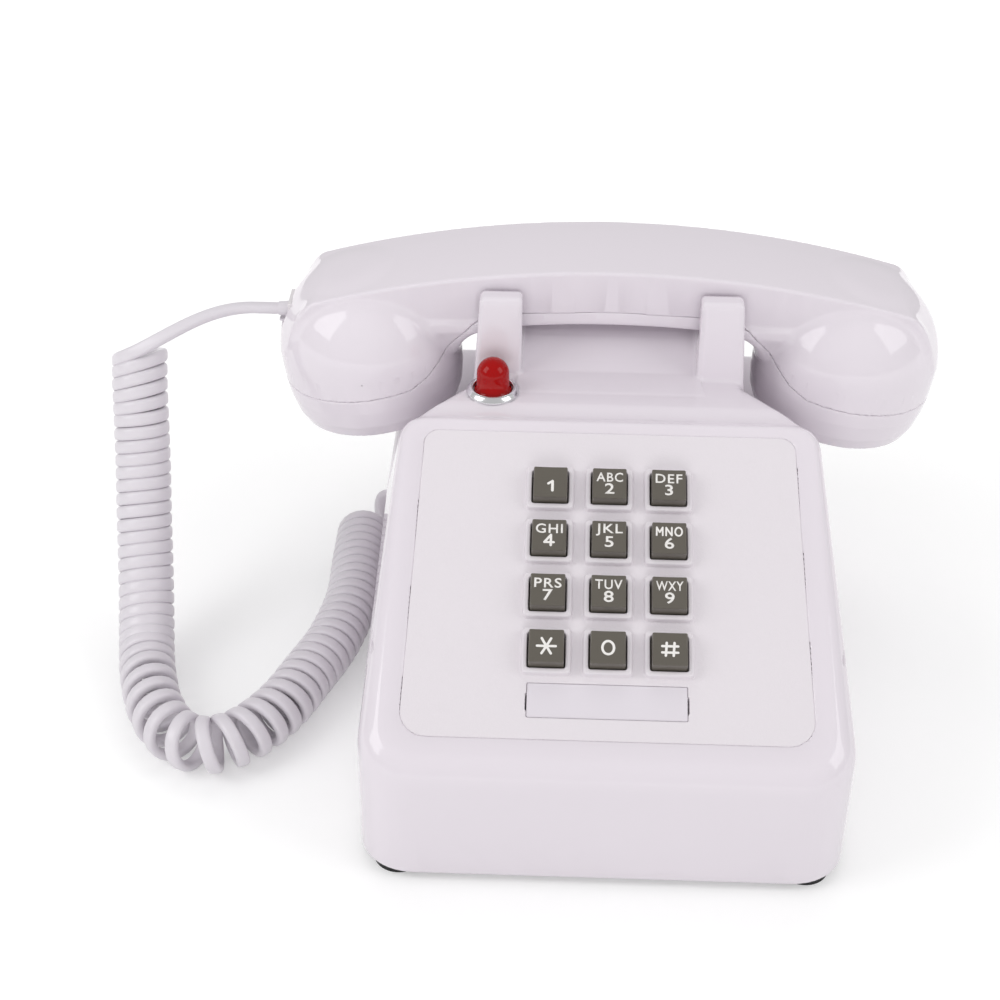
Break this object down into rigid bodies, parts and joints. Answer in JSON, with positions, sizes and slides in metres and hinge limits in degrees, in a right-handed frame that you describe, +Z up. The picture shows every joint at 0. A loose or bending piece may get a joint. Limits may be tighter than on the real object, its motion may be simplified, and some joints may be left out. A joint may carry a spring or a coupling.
{
  "type": "corded desk telephone",
  "caption": "Push-button desk telephone with a sloping keypad face, a handset resting across a two-pronged cradle, a red call lamp and a curly handset cord.",
  "frame": {"origin": "middle of the telephone's footprint, on the table, cord left out", "axes": "+X to the user's right along the handset, +Y to the back, +Z up"},
  "size_m": [0.2923, 0.218, 0.1398],
  "materials": {
    "shell": "gloss",
    "card": "matte",
    "window": "gloss",
    "chrome": "polished",
    "red_lens": "gloss",
    "steel": "satin",
    "bulb_glass": "gloss",
    "mat": "matte",
    "board": "satin",
    "key_plastic": "satin",
    "plunger_plastic": "gloss",
    "black_plastic": "matte",
    "foot_rubber": "matte",
    "winding": "satin",
    "gong_brass": "polished",
    "capsule_metal": "satin",
    "cord_plastic": "gloss"
  },
  "bodies": {
    "base": {"housing": "shell", "faceplate": "shell", "number_card": "card", "card_window": "window", "lamp_bezel": "chrome", "lamp_lens": "red_lens", "lamp_nut": "steel", "lamp_bulb": "bulb_glass", "keypad_frame": "shell", "keypad_mat": "mat", "keypad_board": "board", "keypad_screws": "steel", "hook_bracket": "steel", "hook_spring": "steel", "hook_switch": "black_plastic", "base_plate": "shell", "rubber_feet": "foot_rubber", "base_screws": "steel", "main_board": "board", "board_parts": "black_plastic", "board_screws": "steel", "ringer_frame": "steel", "ringer_coil": "winding", "gong_left": "gong_brass", "gong_right": "gong_brass", "gong_screws": "steel", "base_jack": "black_plastic", "line_jack": "black_plastic", "cord_coil": "cord_plastic", "cord_tail": "cord_plastic", "base_plug": "cord_plastic"},
    "handset": {"handset_shell": "shell", "handset_cover": "shell", "receiver_capsule": "capsule_metal", "microphone_capsule": "capsule_metal", "capsule_gaskets": "foot_rubber", "handset_weight": "steel", "handset_jack": "black_plastic", "handset_screws": "steel", "handset_plug": "cord_plastic", "cord_lead": "cord_plastic"},
    "key_1": {"key_1": "key_plastic"},
    "key_2": {"key_2": "key_plastic"},
    "key_3": {"key_3": "key_plastic"},
    "key_4": {"key_4": "key_plastic"},
    "key_5": {"key_5": "key_plastic"},
    "key_6": {"key_6": "key_plastic"},
    "key_7": {"key_7": "key_plastic"},
    "key_8": {"key_8": "key_plastic"},
    "key_9": {"key_9": "key_plastic"},
    "key_star": {"key_star": "key_plastic"},
    "key_0": {"key_0": "key_plastic"},
    "key_hash": {"key_hash": "key_plastic"},
    "plunger_left": {"plunger_left": "plunger_plastic"},
    "plunger_right": {"plunger_right": "plunger_plastic"},
    "hook_lever": {"hook_lever": "steel"},
    "clapper": {"clapper": "gong_brass"},
    "volume_wheel": {"volume_wheel": "black_plastic"}
  },
  "joints": [
    {"name": "handset_lift", "type": "slide", "parent": "base", "child": "handset", "axis": [0, 0, 1], "range_m": [0, 0.11]},
    {"name": "plunger_left_rise", "type": "slide", "parent": "base", "child": "plunger_left", "axis": [0, 0, 1], "range_m": [0, 0.006]},
    {"name": "plunger_right_rise", "type": "slide", "parent": "base", "child": "plunger_right", "axis": [0, 0, 1], "range_m": [0, 0.006]},
    {"name": "hook_lever_turn", "type": "hinge", "parent": "base", "child": "hook_lever", "pos_m": [0, 0.074, 0.069], "axis": [-1, 0, 0], "range_deg": [0, 16.5]},
    {"name": "clapper_swing", "type": "hinge", "parent": "base", "child": "clapper", "pos_m": [0, 0.084, 0.035], "axis": [0, 0, 1], "range_deg": [-6.5, 6.5], "stiffness_Nm_per_rad": 0.02},
    {"name": "volume_turn", "type": "hinge", "parent": "base", "child": "volume_wheel", "pos_m": [0.0663, 0.03, 0.0105], "axis": [0, 0, 1], "range_deg": [-50, 50]},
    {"name": "key_1_press", "type": "slide", "parent": "base", "child": "key_1", "axis": [0, 0.4695, -0.8829], "range_m": [0, 0.002], "stiffness_N_per_m": 300, "springref_m": -0.0005},
    {"name": "key_2_press", "type": "slide", "parent": "base", "child": "key_2", "axis": [0, 0.4695, -0.8829], "range_m": [0, 0.002], "stiffness_N_per_m": 300, "springref_m": -0.0005},
    {"name": "key_3_press", "type": "slide", "parent": "base", "child": "key_3", "axis": [0, 0.4695, -0.8829], "range_m": [0, 0.002], "stiffness_N_per_m": 300, "springref_m": -0.0005},
    {"name": "key_4_press", "type": "slide", "parent": "base", "child": "key_4", "axis": [0, 0.4695, -0.8829], "range_m": [0, 0.002], "stiffness_N_per_m": 300, "springref_m": -0.0005},
    {"name": "key_5_press", "type": "slide", "parent": "base", "child": "key_5", "axis": [0, 0.4695, -0.8829], "range_m": [0, 0.002], "stiffness_N_per_m": 300, "springref_m": -0.0005},
    {"name": "key_6_press", "type": "slide", "parent": "base", "child": "key_6", "axis": [0, 0.4695, -0.8829], "range_m": [0, 0.002], "stiffness_N_per_m": 300, "springref_m": -0.0005},
    {"name": "key_7_press", "type": "slide", "parent": "base", "child": "key_7", "axis": [0, 0.4695, -0.8829], "range_m": [0, 0.002], "stiffness_N_per_m": 300, "springref_m": -0.0005},
    {"name": "key_8_press", "type": "slide", "parent": "base", "child": "key_8", "axis": [0, 0.4695, -0.8829], "range_m": [0, 0.002], "stiffness_N_per_m": 300, "springref_m": -0.0005},
    {"name": "key_9_press", "type": "slide", "parent": "base", "child": "key_9", "axis": [0, 0.4695, -0.8829], "range_m": [0, 0.002], "stiffness_N_per_m": 300, "springref_m": -0.0005},
    {"name": "key_star_press", "type": "slide", "parent": "base", "child": "key_star", "axis": [0, 0.4695, -0.8829], "range_m": [0, 0.002], "stiffness_N_per_m": 300, "springref_m": -0.0005},
    {"name": "key_0_press", "type": "slide", "parent": "base", "child": "key_0", "axis": [0, 0.4695, -0.8829], "range_m": [0, 0.002], "stiffness_N_per_m": 300, "springref_m": -0.0005},
    {"name": "key_hash_press", "type": "slide", "parent": "base", "child": "key_hash", "axis": [0, 0.4695, -0.8829], "range_m": [0, 0.002], "stiffness_N_per_m": 300, "springref_m": -0.0005}
  ],
  "couplings": [
    {"joint": "plunger_left_rise", "follows": "handset_lift", "ratio": 0.0545},
    {"joint": "plunger_right_rise", "follows": "handset_lift", "ratio": 0.0545},
    {"joint": "hook_lever_turn", "follows": "handset_lift", "rad_per_m": 2.6}
  ]
}
